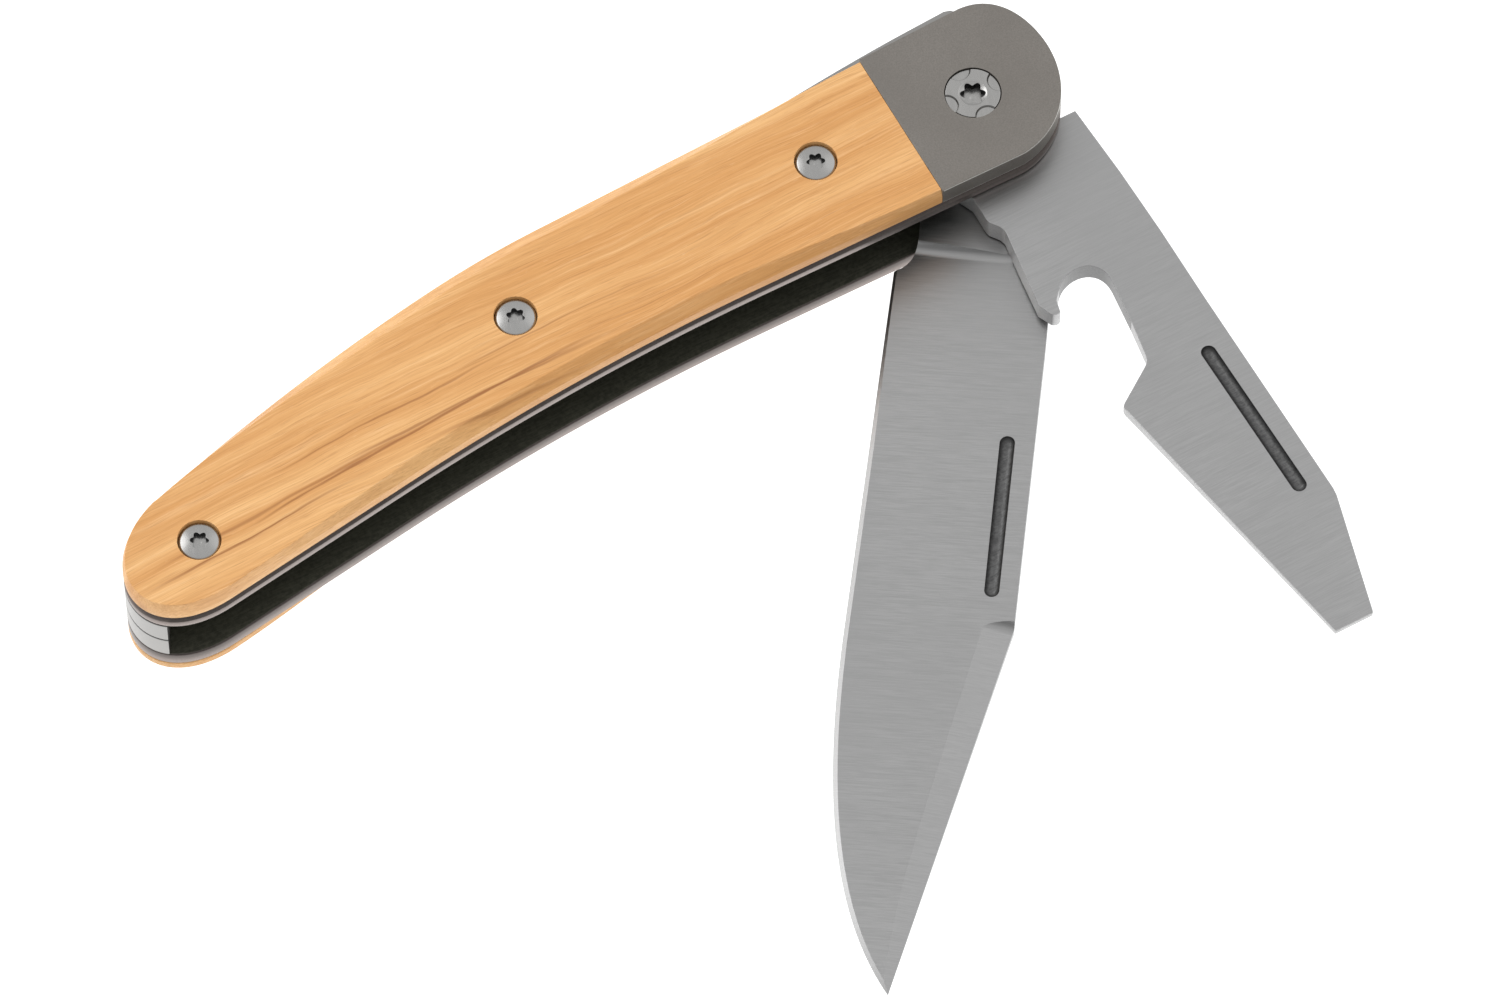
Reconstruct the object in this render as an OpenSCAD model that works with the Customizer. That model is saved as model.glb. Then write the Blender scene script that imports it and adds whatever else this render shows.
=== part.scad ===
// Two-tool folding whittling knife: a clip-point blade and a cap lifter with a driver tip,
// side by side on one pivot, each held by its own back spring. Millimetres, +Z up.
// The knife lies on its back cover. The origin is where the pivot axis meets that cover's
// outer face. +X runs from the tail to the pivot, +Y is the spine side, and the tools
// come out on the -Y side.

/* [Handle] */
// Thickness of a wooden cover, and of the bolster beside it
cover_t = 2.2; // [1.8:0.1:3]
// Thickness of a liner
liner_t = 1.7; // [1.3:0.1:2]
// Where the bolster ends and the wood begins, along X
bolster_x = -7.5; // [-9:0.5:-7]
// Width of the chamfer along the covers' edges
chamfer_w = 0.8; // [0.2:0.1:1.2]
// Depth of the same chamfer
chamfer_d = 0.9; // [0.2:0.1:1.2]

/* [Tools] */
// Thickness of each tool's steel
tool_t = 2.6; // [2.4:0.1:3]
// Thickness of a pivot washer
washer_t = 0.12; // [0.1:0.01:0.2]
// Distance from the pivot to the blade's tip
blade_l = 88; // [84:1:88]
// Blade angle as shown, 0 when fully open and -174 when closed
blade_angle = -125; // [-130:1:-120]
// Cap lifter angle as shown, 0 when fully open and -174 when closed
lifter_angle = -90; // [-95:1:-85]

/* [Springs] */
// Rise of the springs' bent shape where the turned tang lifts them
spring_lift = 2.28; // [2.28:0.02:2.5]

/* [Fixings] */
// Diameter of a cover screw's head
screw_head_d = 3.8; // [3.4:0.1:4.2]
// Diameter of a pivot screw's head
pivot_head_d = 5.1; // [4.8:0.1:5.6]
// Diameter of the pivot barrel
barrel_d = 4; // [3.6:0.1:4.4]

/* [Hidden] */
$fn = 48;
play = 0.01;            // side clearance beside each tool and washer
spring_play = 0.02;     // side clearance beside each spring
bore_play = 0.03;       // radial clearance of a tool on the barrel, and of a spring on a pin
well_t = 2 * tool_t + 3 * washer_t + 4 * play;
spring_t = well_t / 2 - 2 * spring_play;
z_well = cover_t + liner_t;
z_blade = z_well + washer_t + play;
z_mid_washer = z_blade + tool_t + play;
z_lifter = z_mid_washer + washer_t + play;
z_front_liner = z_well + well_t;
z_front_cover = z_front_liner + liner_t;
total_t = z_front_cover + cover_t;
past = 1;               // how far a cutter runs past the face it cuts

steel = [0.62, 0.62, 0.61];
titanium = [0.49, 0.47, 0.44];
olive = [0.86, 0.63, 0.38];
bronze = [0.72, 0.53, 0.30];

// Curves
function dir(a) = [cos(a), sin(a)];
function bezier(p, q, r, s, t) =
    pow(1 - t, 3) * p + 3 * pow(1 - t, 2) * t * q + 3 * (1 - t) * t * t * r + pow(t, 3) * s;
function arc(c, r, a0, a1, n) = [for (i = [0:n]) c + r * dir(a0 + (a1 - a0) * i / n)];
// A bend of the given length and turn, as n chords from p, starting at heading h
function bend(p, h, length, turn, n) = [for (i = [1:n]) p + length / (turn * PI / 180)
    * [sin(h + turn * i / n) - sin(h), cos(h) - cos(h + turn * i / n)]];
function last(v) = v[len(v) - 1];
function reversed(v) = [for (i = [len(v) - 1:-1:0]) v[i]];

// Outline shared by the liners, bolsters and covers: spine, tail, belly and nose
spine_tilt = 1.5;
spine_front = [3.1, 8.4];
spine_l = 45;           // straight front stretch of the spine
shoulder_l = 11.6;      // then it bends down in two stages
shoulder_turn = 6.7;
rear_l = 32.3;
rear_turn = 8.7;
belly_tilt = -0.8;
belly_front = [0, -7.8];
belly_l = 26;
belly_bend_l = 38.5;
belly_turn = 8.4;
belly_rear_l = 19.1;
tail_n = 16;
tail_pull = [9.5, 10];  // how full the round tail is at its top and its underside
spine_dir = 180 + spine_tilt;
spine_knee = spine_front + spine_l * dir(spine_dir);
shoulder = bend(spine_knee, spine_dir, shoulder_l, shoulder_turn, 4);
rear = bend(last(shoulder), spine_dir + shoulder_turn, rear_l, rear_turn, 5);
tail_top = last(rear);
tail_dir = spine_dir + shoulder_turn + rear_turn;
belly_knee = belly_front + belly_l * dir(180 + belly_tilt);
belly_bend = bend(belly_knee, 180 + belly_tilt, belly_bend_l, belly_turn, 6);
belly_dir = 180 + belly_tilt + belly_turn;
tail_low = last(belly_bend) + belly_rear_l * dir(belly_dir);
function tail(i) = bezier(tail_top, tail_top + tail_pull[0] * dir(tail_dir),
    tail_low + tail_pull[1] * dir(belly_dir), tail_low, i / tail_n);
spine_pts = concat([spine_front, spine_knee], shoulder, rear);
tail_pts = [for (i = [1:tail_n - 1]) tail(i)];
belly_pts = concat([tail_low], reversed(belly_bend), [belly_knee, belly_front]);
nose_pts = concat(arc([0.2, 0.2], 8.05, -80, 0, 8), arc([3.15, 3.2], 5.15, 8, 82, 8));
outline = concat(spine_pts, tail_pts, belly_pts, nose_pts);

// Fixings
cover_screws = [[-16.1, 0.7], [-47.8, -0.2], [-83.6, -6.6]];
bolster_screws = [[-4.6, 5.4], [-4.6, -5.4]];
mid_pin = [-44.5, 5];
tail_pin = [-87.4, -4.6];
pin_r = 1;
barrel_r = barrel_d / 2;
screw_r = 1;            // M2 cover screw
screw_hole_r = 1.15;    // its clearance hole in the wood
head_rim = 0.6;
head_dome = 0.38;
head_seat = 1;          // depth of a cover screw's seat below the cover's face
recess_gap = 0.1;       // gap round a head in its counterbore
pivot_seat = 1.1;       // depth of the pivot screw's seat below the bolster's face
pivot_head_t = 1.05;
pivot_shank_r = 1.25;
pivot_shank_l = 3;
scallop_r = 1.05;
scallop_depth = 0.15;
small_r = 0.8;          // M1.6 bolster screw
small_head_r = 1.5;
small_head_t = 0.7;
small_depth = 1.5;      // how far it goes into the bolster
torx_small = 1.75;      // driver recesses: size across the lobes, then depth
torx_large = 2.4;
torx_tiny = 1.27;
torx_small_depth = 0.75;
torx_large_depth = 1.2;
torx_tiny_depth = 0.45;
torx_turn = 34;

// Tang shared by both tools, in a frame where the open tool points along +X
seat = 4.3;             // from the pivot axis to the spring's seated underside
cam_r = 6.25;           // radius of the tang's round end
stop_x = 4.25;          // shoulder that meets the spring's nose when the tool is open
shoulder_y = 8.4;       // height of that shoulder
shut = -174;            // angle of a closed tool
washer_r = 4.2;
bore_r = barrel_r + bore_play;

// Blade
grind_x = 13.3;         // plunge line
grind_y = 8.6;          // where the main grind starts below the back
grind_slope = 3.5;
grind_taper = 0.25;     // thinning towards the tip
swedge_slope = 11;
swedge_t = 0.65;        // half the blade's thickness left along its back by the false edge
edge_slope = 22;
edge_t = 0.03;          // half the thickness of the cutting edge
clip_start = [50.8, 8.85];
tip = [blade_l, 1.17];
edge_knee = [52, -6.45];
heel = [15.05, -5.68];
edge_curve = [for (i = [0:10])
    bezier(tip, tip + [-6.7, -5.3], edge_knee + [18.3, -0.38], edge_knee, i / 10)];
choil = [[14.7, -5], [13.8, -4.2], [12.8, -3.85], [11.8, -3.7], [7.5, -4], [6.2, -5], [3, -5.4]];
nick_r = 0.7;
blade_nick = [[32.3, 6.4], [47.3, 6.45]];

// Cap lifter with a driver tip
lifter_l = 62.3;
lifter_back = [[12, 8.95], [19, 9.15], [27, 9.2], [49.6, 9.6], [50.9, 9.4]];
lifter_tip = [[62.1, 6.45], [lifter_l, 6.1], [lifter_l, 2.4]];
lifter_notch = [[33.3, -2.95], [32.9, -2.7], [30, 1.5]];
hook_mouth = [for (i = [0:6])
    bezier([21.6, 2.6], [18.2, 3], [18, -0.6], [19.9, -2.1], i / 6)];
hook_lip = [[20.7, -2.8], [21.7, -2.9], [22.1, -3.3], [21.7, -3.85], [20.4, -4.5]];
lifter_root = [[12.4, -3.4], [11.6, -3.55], [10.7, -4.2], [7.8, -4.27], [6.2, -5], [3, -5.4]];
lifter_nick = [[32.1, 6.65], [47.8, 7.03]];
// Thinning of its rear face, as distance along the tool and depth
thinning = [[14, 0], [33, 1.5], [64, 2.2]];

module handle_plate(t) { linear_extrude(t) polygon(outline); }

// Everything past a given X
module beyond(x) { translate([x, -50, -past]) cube([60, 100, 30]); }

module hole(p, r, depth) { translate([p.x, p.y, -past]) cylinder(r = r, h = depth + past); }

// Six-lobed driver recess, sunk from z = 0
module torx(across, depth) {
    translate([0, 0, -depth]) linear_extrude(depth + past) difference() {
        circle(d = across);
        for (a = [30:60:330]) rotate(a) translate([0.56 * across, 0]) circle(r = 0.19 * across);
    }
}

// Cutters for a bevel along a run of outline points, sunk from the face at z = 0.
// The run goes anticlockwise, so the part lies on its left. Each cutter runs on past its
// ends by overlap, which may be long where the run is convex.
module bevel(pts, width, depth, overlap = 0.03) {
    for (i = [0:len(pts) - 2]) {
        run = pts[i + 1] - pts[i];
        translate([pts[i].x, pts[i].y, 0]) rotate(atan2(run.y, run.x)) rotate([90, 0, 90])
            translate([0, 0, -overlap]) linear_extrude(norm(run) + 2 * overlap)
                polygon([[-2, past], [-2, -depth], [0, -depth], [width, 0], [width, past]]);
    }
}

// Wooden cover, from its inner face up
module scale_body() {
    difference() {
        handle_plate(cover_t);
        beyond(bolster_x);
        translate([0, 0, cover_t]) {
            bevel(concat(spine_pts, tail_pts, [tail_low]), chamfer_w, chamfer_d);
            bevel(belly_pts, chamfer_w, chamfer_d);
        }
        for (p = cover_screws) {
            hole(p, screw_hole_r, cover_t + past);
            translate([p.x, p.y, cover_t - head_seat])
                cylinder(r = screw_head_d / 2 + recess_gap, h = head_seat + past);
        }
    }
}

// Bolster, from its inner face up
module bolster_body() {
    difference() {
        intersection() {
            handle_plate(cover_t);
            beyond(bolster_x);
        }
        hole([0, 0], barrel_r, cover_t + past);
        translate([0, 0, cover_t - pivot_seat])
            cylinder(r = pivot_head_d / 2 + recess_gap, h = pivot_seat + past);
        for (p = bolster_screws) hole(p, small_r, small_depth);
    }
}

// Liner, from its inner face up
module liner_body() {
    difference() {
        handle_plate(liner_t);
        hole([0, 0], barrel_r, liner_t + past);
        for (p = cover_screws) hole(p, screw_r, liner_t + past);
        for (p = [mid_pin, tail_pin]) hole(p, pin_r, liner_t + past);
        for (p = bolster_screws) {
            hole(p, small_r, liner_t + past);
            translate([p.x, p.y, 0]) countersink();
        }
    }
}

module countersink() { cylinder(r1 = small_head_r, r2 = small_r, h = small_head_t); }

// Button-head screw with its seat at z = 0 and its shank below
module cover_screw() {
    head_r = screw_head_d / 2;
    dome_r = (head_r * head_r + head_dome * head_dome) / (2 * head_dome);
    shank = cover_t - head_seat + liner_t - 0.1;
    difference() {
        union() {
            cylinder(r = head_r, h = head_rim);
            intersection() {
                cylinder(r = head_r, h = head_rim + head_dome);
                translate([0, 0, head_rim + head_dome - dome_r]) sphere(r = dome_r);
            }
            translate([0, 0, -shank]) cylinder(r = screw_r, h = shank);
        }
        translate([0, 0, head_rim + head_dome]) torx(torx_small, torx_small_depth);
    }
}

// Flat pivot screw with its seat at z = 0, and four shallow scallops in its rim
module pivot_screw() {
    difference() {
        union() {
            cylinder(r = pivot_head_d / 2, h = pivot_head_t);
            translate([0, 0, -pivot_shank_l]) cylinder(r = pivot_shank_r, h = pivot_shank_l);
        }
        translate([0, 0, pivot_head_t]) rotate(torx_turn) torx(torx_large, torx_large_depth);
        for (a = [0:90:270]) rotate(a)
            translate([pivot_head_d / 2 + 0.2, 0, pivot_head_t - scallop_depth])
                cylinder(r = scallop_r, h = scallop_depth + past);
    }
}

// Countersunk screw with its head's face at z = 0 and its shank above
module bolster_screw() {
    difference() {
        union() {
            countersink();
            cylinder(r = small_r, h = liner_t + small_depth - 0.1);
        }
        rotate([180, 0, 0]) torx(torx_tiny, torx_tiny_depth);
    }
}

// Tool plate: the given outline joined to the round tang, less the two spring seats
module tool_plate(pts) {
    difference() {
        union() {
            cylinder(r = cam_r, h = tool_t);
            linear_extrude(tool_t)
                polygon(concat([[0, 0], [stop_x, seat], [stop_x, shoulder_y]], pts));
        }
        translate([-10, seat, -past]) cube([10 + stop_x, 10, tool_t + 2 * past]);
        rotate(90 - shut) translate([seat, -6, -past]) cube([5, 12, tool_t + 2 * past]);
        hole([0, 0], bore_r, tool_t + past);
    }
}

// Long nail nick with rounded ends, sunk into the face at z = tool_t
module nick(ends, depth) {
    run = ends[1] - ends[0];
    translate([ends[0].x, ends[0].y, tool_t - depth]) rotate(atan2(run.y, run.x)) {
        cylinder(r = nick_r, h = depth + past);
        translate([0, -nick_r, 0]) cube([norm(run), 2 * nick_r, depth + past]);
        translate([norm(run), 0, 0]) cylinder(r = nick_r, h = depth + past);
    }
}

// All that is ground away from the blade's face at z = tool_t
module grinds() {
    clip = tip - clip_start;
    edge_cut = 2 * tan(edge_slope);
    translate([grind_x, grind_y, tool_t]) rotate([grind_slope, grind_taper, 0])
        translate([0, -20, 0]) cube([80, 21, 4]);
    translate([clip_start.x - 1, clip_start.y, tool_t / 2 + swedge_t])
        rotate(atan2(clip.y, clip.x)) rotate([-swedge_slope, 0, 0])
            translate([0, -5, 0]) cube([45, 7, 4]);
    translate([0, 0, tool_t / 2 + edge_t + edge_cut])
        bevel(concat([heel], reversed(edge_curve)), 2, edge_cut, 3);
}

module main_blade() {
    color(steel) rotate(blade_angle) translate([0, 0, z_blade]) difference() {
        tool_plate(concat([[12, 8.8], [22, 8.95], clip_start], edge_curve, [heel], choil));
        grinds();
        translate([0, 0, tool_t]) mirror([0, 0, 1]) grinds();
        nick(blade_nick, 0.7);
    }
}

module cap_lifter() {
    color(steel) rotate(lifter_angle) translate([0, 0, z_lifter]) difference() {
        tool_plate(concat(lifter_back, lifter_tip, lifter_notch, hook_mouth, hook_lip,
            lifter_root));
        translate([0, 20, 0]) rotate([90, 0, 0]) linear_extrude(40)
            polygon(concat(thinning, [[64, -past], [14, -past]]));
        nick(lifter_nick, 0.4);
    }
}

// Back spring, bent up by the turned tang. Its rear half stays flush with the liners.
spring_root = mid_pin.x;        // the bend starts here
spring_nose = 4.2;
spring_tail_n = 12;             // how far round the tail the spring reaches, in outline steps
function lift(x) =
    let (s = max(0, (x - spring_root) / (spring_nose - spring_root)))
    spring_lift * s * s * (3 - s) / 2;
function lifted(pts) = [for (p = pts) [p.x, p.y + lift(p.x)]];
function spine_y(x) = spine_front.y + (x - spine_front.x) * tan(spine_tilt);
spring_top = concat(arc([spring_nose - 1.2, spine_y(3) - 1.2], 1.2, 0, 80, 4),
    [for (x = [2:-4:-38]) [x, spine_y(x)]], [spine_knee], shoulder, rear,
    [for (i = [1:spring_tail_n]) tail(i)]);
spring_under = concat([[-88.2, -8.9], [-86.4, -7.4], [-84.6, -5.6], [-83, -4.4], [-78, -2.9],
    [-71, -1.2], [-64, 0.4], [-51, 2.5], [-44, 3], [-31, 3.6], [-23, 4], [-15.5, seat]],
    [for (x = [-12:2:4]) [x, seat]], [[spring_nose, seat]]);

module spring_plate() {
    linear_extrude(spring_t) difference() {
        polygon(lifted(concat(spring_top, spring_under)));
        for (p = [mid_pin, tail_pin]) translate(p) circle(r = pin_r + bore_play);
    }
}

module washer() {
    color(bronze) linear_extrude(washer_t) difference() {
        circle(r = washer_r);
        circle(r = barrel_r + bore_play);
    }
}

module pivot_barrel() {
    color(steel) translate([0, 0, pivot_seat]) difference() {
        cylinder(r = barrel_r, h = total_t - 2 * pivot_seat);
        hole([0, 0], pivot_shank_r, total_t);
    }
}

module spring_pin(p) {
    color(steel) translate([p.x, p.y, cover_t]) cylinder(r = pin_r, h = z_front_cover - cover_t);
}

// Copies a front part to the back, mirrored about the knife's middle plane
module to_back() { translate([0, 0, total_t]) mirror([0, 0, 1]) children(); }

module front_scale() { color(olive) translate([0, 0, z_front_cover]) scale_body(); }
module back_scale() { to_back() front_scale(); }
module front_bolster() { color(titanium) translate([0, 0, z_front_cover]) bolster_body(); }
module back_bolster() { to_back() front_bolster(); }
module front_liner() { color(titanium) translate([0, 0, z_front_liner]) liner_body(); }
module back_liner() { to_back() front_liner(); }
module lifter_spring() {
    color(steel) translate([0, 0, z_front_liner - spring_play - spring_t]) spring_plate();
}
module blade_spring() { color(steel) translate([0, 0, z_well + spring_play]) spring_plate(); }
module front_washer() { translate([0, 0, z_front_liner - washer_t]) washer(); }
module centre_washer() { translate([0, 0, z_mid_washer]) washer(); }
module back_washer() { translate([0, 0, z_well]) washer(); }
module front_pivot_screw() {
    color(steel) translate([0, 0, total_t - pivot_seat]) pivot_screw();
}
module back_pivot_screw() { to_back() front_pivot_screw(); }
module front_scale_screws() {
    for (p = cover_screws) color(steel)
        translate([p.x, p.y, total_t - head_seat]) cover_screw();
}
module back_scale_screws() { to_back() front_scale_screws(); }
module front_bolster_screws() {
    for (p = bolster_screws) color(steel) translate([p.x, p.y, z_front_liner]) bolster_screw();
}
module back_bolster_screws() { to_back() front_bolster_screws(); }
module mid_spring_pin() { spring_pin(mid_pin); }
module tail_spring_pin() { spring_pin(tail_pin); }

front_scale();
back_scale();
front_bolster();
back_bolster();
front_liner();
back_liner();
main_blade();
cap_lifter();
blade_spring();
lifter_spring();
pivot_barrel();
front_pivot_screw();
back_pivot_screw();
front_washer();
centre_washer();
back_washer();
front_scale_screws();
back_scale_screws();
front_bolster_screws();
back_bolster_screws();
mid_spring_pin();
tail_spring_pin();
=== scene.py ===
import math

import bmesh
import bpy
from mathutils import Matrix, Vector


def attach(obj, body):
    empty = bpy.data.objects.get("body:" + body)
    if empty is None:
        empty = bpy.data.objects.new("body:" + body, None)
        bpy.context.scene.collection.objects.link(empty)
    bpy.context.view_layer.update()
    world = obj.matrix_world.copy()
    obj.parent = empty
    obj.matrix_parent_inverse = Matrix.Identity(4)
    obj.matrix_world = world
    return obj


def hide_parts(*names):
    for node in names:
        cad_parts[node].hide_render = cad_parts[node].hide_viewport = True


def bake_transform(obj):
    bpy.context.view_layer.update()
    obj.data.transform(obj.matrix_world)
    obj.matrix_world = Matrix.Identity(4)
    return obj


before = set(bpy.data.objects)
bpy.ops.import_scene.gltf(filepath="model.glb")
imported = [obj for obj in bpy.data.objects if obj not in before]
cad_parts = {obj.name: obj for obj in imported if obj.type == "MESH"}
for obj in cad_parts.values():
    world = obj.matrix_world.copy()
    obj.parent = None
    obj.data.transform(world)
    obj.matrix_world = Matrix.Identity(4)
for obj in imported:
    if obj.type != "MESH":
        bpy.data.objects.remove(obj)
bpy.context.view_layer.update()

MM = 0.001

# ---------------------------------------------------------------- sizes, in millimetres
COVER_T, LINER_T = 2.2, 1.7
TOTAL_T = 13.4
Z_WELL = COVER_T + LINER_T              # the well for the tools lies between the liners
Z_FRONT_LINER = TOTAL_T - Z_WELL
Z_FRONT_COVER = TOTAL_T - COVER_T
TOOL_T = 2.6
SPRING_T, SPRING_PLAY = 2.76, 0.02
Z_BLADE, Z_LIFTER = 4.03, 6.77          # rear faces of the tools
BLADE_ANGLE, LIFTER_ANGLE = -125, -90   # where the part-open tools point, in degrees
BOLSTER_X = -7.5                        # joint of cover and bolster
BARREL_R, TOOL_BORE_R = 2.0, 2.03
PIVOT_SEAT, SCREW_SEAT = 1.1, 1.0       # depth of the screws' seats below the handle's faces
SCREW_R = 1.0
SOCKET_L, PIVOT_SOCKET_L = 1.75, 2.38   # width of the six-lobed recesses across their lobes
COVER_SCREWS = [(-16.1, 0.7), (-47.8, -0.2), (-83.6, -6.6)]
SCREW_TURNS = [38, 16, 29]              # in degrees, one for each cover screw
MID_PIN, TAIL_PIN = (-44.5, 5.0), (-87.4, -4.6)
PIN_BORE_R = 1.03
PAST = 1                                # how far a cutter runs past the face it cuts


# ---------------------------------------------------------------- curves
def turn(angle):
    """Unit vector at an angle in degrees."""
    return Vector((math.cos(math.radians(angle)), math.sin(math.radians(angle))))


def bezier(p, q, r, s, n):
    """n + 1 points on a cubic curve, both ends included."""
    p, q, r, s = (Vector(v) for v in (p, q, r, s))
    out = []
    for i in range(n + 1):
        t = i / n
        u = 1 - t
        out.append(u ** 3 * p + 3 * u ** 2 * t * q + 3 * u * t * t * r + t ** 3 * s)
    return out


def arc(centre, radius, start, end, n):
    """n + 1 points on an arc between two angles in degrees."""
    return [Vector(centre) + radius * turn(start + (end - start) * i / n) for i in range(n + 1)]


def bend(p, heading, length, angle, n):
    """Points after p along a bend of the given length and turn."""
    radius = length / math.radians(angle)
    out = []
    for i in range(1, n + 1):
        a, h = math.radians(heading + angle * i / n), math.radians(heading)
        out.append(p + radius * Vector((math.sin(a) - math.sin(h), math.cos(h) - math.cos(a))))
    return out


def line(p, q, n):
    """Points after p on the straight way to q."""
    return [Vector(p).lerp(Vector(q), i / n) for i in range(1, n + 1)]


def smooth(x, low, high):
    """0 at low, 1 at high, with soft ends."""
    t = min(1, max(0, (x - low) / (high - low)))
    return t * t * (3 - 2 * t)


# The handle's outline, from the front of the spine round the tail and back along the belly.
# Directions and turns are in degrees.
SPINE_FRONT, SPINE_DIR, SPINE_L = Vector((3.1, 8.4)), 181.5, 45
SHOULDER_L, SHOULDER_TURN = 11.6, 6.7
REAR_L, REAR_TURN = 32.3, 8.7
BELLY_FRONT, BELLY_DIR, BELLY_L = Vector((0, -7.8)), 179.2, 26
BELLY_BEND_L, BELLY_TURN = 38.5, 8.4
BELLY_REAR_L = 19.1
TAIL_X = -86                            # behind it the outline belongs to the tail

spine_knee = SPINE_FRONT + SPINE_L * turn(SPINE_DIR)
shoulder = bend(spine_knee, SPINE_DIR, SHOULDER_L, SHOULDER_TURN, 10)
rear = bend(shoulder[-1], SPINE_DIR + SHOULDER_TURN, REAR_L, REAR_TURN, 20)
belly_knee = BELLY_FRONT + BELLY_L * turn(BELLY_DIR)
belly_bend = bend(belly_knee, BELLY_DIR, BELLY_BEND_L, BELLY_TURN, 24)
belly_rear_way = turn(BELLY_DIR + BELLY_TURN)
tail_low = belly_bend[-1] + BELLY_REAR_L * belly_rear_way
tail = bezier(rear[-1], rear[-1] + 9.5 * turn(SPINE_DIR + SHOULDER_TURN + REAR_TURN),
              tail_low + 10 * belly_rear_way, tail_low, 40)
spine = [SPINE_FRONT] + line(SPINE_FRONT, spine_knee, 28) + shoulder + rear
belly = [tail_low] + line(tail_low, belly_bend[-1], 12) + belly_bend[-2::-1]
belly += [belly_knee] + line(belly_knee, BELLY_FRONT, 16)
nose = arc((0.2, 0.2), 8.05, -84, -35, 14)
nose += bezier(nose[-1], (7.91, -2.82), (8.52, -0.8), (8.52, 1.15), 12)[1:]
nose += bezier(nose[-1], (8.52, 4.0), (7.37, 8.3), SPINE_FRONT, 24)[1:-1]
OUTLINE = spine + tail[1:-1] + belly + nose


def spine_y(x):
    """Height of the spine's outline at x."""
    for a, b in zip(spine, spine[1:]):
        if b.x <= x <= a.x:
            return a.y + (b.y - a.y) * (x - a.x) / (b.x - a.x)
    return SPINE_FRONT.y


# ---------------------------------------------------------------- mesh building
def linked(bm, name):
    """Turns a finished bmesh into an object in the scene."""
    mesh = bpy.data.meshes.new(name)
    bm.to_mesh(mesh)
    bm.free()
    obj = bpy.data.objects.new(name, mesh)
    bpy.context.scene.collection.objects.link(obj)
    return obj


def new_object(bm, name):
    """The same, with double points merged and all faces turned outwards."""
    bmesh.ops.remove_doubles(bm, verts=bm.verts, dist=1e-4)
    bmesh.ops.recalc_face_normals(bm, faces=bm.faces)
    return linked(bm, name)


def from_rings(name, rings):
    """A solid through rings of 3-D points, capped at both ends."""
    bm = bmesh.new()
    rows = [[bm.verts.new(p) for p in ring] for ring in rings]
    n = len(rings[0])
    for low, high in zip(rows, rows[1:]):
        for i in range(n):
            j = (i + 1) % n
            bm.faces.new((low[i], low[j], high[j], high[i]))
    bm.faces.new(rows[0][::-1])
    bm.faces.new(rows[-1])
    return new_object(bm, name)


def prism(name, pts, z0, z1):
    """A flat outline made solid between two heights."""
    return from_rings(name, [[(p[0], p[1], z) for p in pts] for z in (z0, z1)])


def lathe(name, profile, n=64):
    """A solid turned about Z from (radius, z) points, the first and last on the axis."""
    bm = bmesh.new()
    rows = []
    for r, z in profile:
        if r < 1e-6:
            rows.append([bm.verts.new((0, 0, z))])
        else:
            rows.append([bm.verts.new((*(r * turn(360 * i / n)), z)) for i in range(n)])
    for a, b in zip(rows, rows[1:]):
        for i in range(n):
            j = (i + 1) % n
            ring = [a[i % len(a)], a[j % len(a)], b[j % len(b)], b[i % len(b)]]
            bm.faces.new(list(dict.fromkeys(ring)))
    return new_object(bm, name)


def cylinder(name, centre, r, z0, z1, n=64):
    return prism(name, [Vector(centre[:2]) + r * turn(360 * i / n) for i in range(n)], z0, z1)


def box(name, low, high):
    return prism(name, [(low[0], low[1]), (high[0], low[1]), (high[0], high[1]), (low[0], high[1])],
                 low[2], high[2])


def moved(obj, matrix):
    """Moves the mesh itself, so that the object stays at the origin."""
    obj.data.transform(matrix)
    if matrix.to_3x3().determinant() < 0:
        obj.data.flip_normals()
    return obj


def shifted(obj, x, y, z):
    return moved(obj, Matrix.Translation((x, y, z)))


def baked(obj):
    """Replaces the mesh with what its modifiers make of it."""
    bpy.context.view_layer.update()
    graph = bpy.context.evaluated_depsgraph_get()
    mesh = bpy.data.meshes.new_from_object(obj.evaluated_get(graph))
    obj.modifiers.clear()
    obj.data = mesh
    return obj


def cut(obj, *cutters, operation="DIFFERENCE"):
    """Cuts each cutter out of a piece, or joins it on with operation "UNION"."""
    for c in cutters:
        m = obj.modifiers.new("cut", "BOOLEAN")
        m.object, m.operation, m.solver = c, operation, "MANIFOLD"
        baked(obj)
        bpy.data.objects.remove(c)
    return obj


def merged(obj):
    """Merges nearly flat neighbouring faces. This is sensitive to the last digit, so the tools'
    cutters are worked out in plain 64-bit numbers."""
    bm = bmesh.new()
    bm.from_mesh(obj.data)
    bmesh.ops.dissolve_limit(bm, angle_limit=math.radians(0.3), verts=bm.verts, edges=bm.edges)
    bm.to_mesh(obj.data)
    bm.free()
    return obj


def bevelled(obj, width, min_angle):
    """Rounds all edges sharper than min_angle."""
    bm = bmesh.new()
    bm.from_mesh(merged(obj).data)
    edges = [e for e in bm.edges
             if len(e.link_faces) == 2 and e.calc_face_angle() > math.radians(min_angle)]
    bmesh.ops.bevel(bm, geom=edges, offset=width, segments=2, profile=0.6,
                    affect="EDGES", clamp_overlap=True)
    bm.to_mesh(obj.data)
    bm.free()
    return obj


def mirrored(obj, thickness):
    """The piece mirrored in the middle plane of something that stands on z = 0."""
    return moved(obj, Matrix.Translation((0, 0, thickness)) @ Matrix.Scale(-1, 4, (0, 0, 1)))


def joined(parts, name):
    """One object from several, each still a shell of its own."""
    bm = bmesh.new()
    for p in parts:
        bm.from_mesh(p.data)
        bpy.data.objects.remove(p)
    return linked(bm, name)


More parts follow.
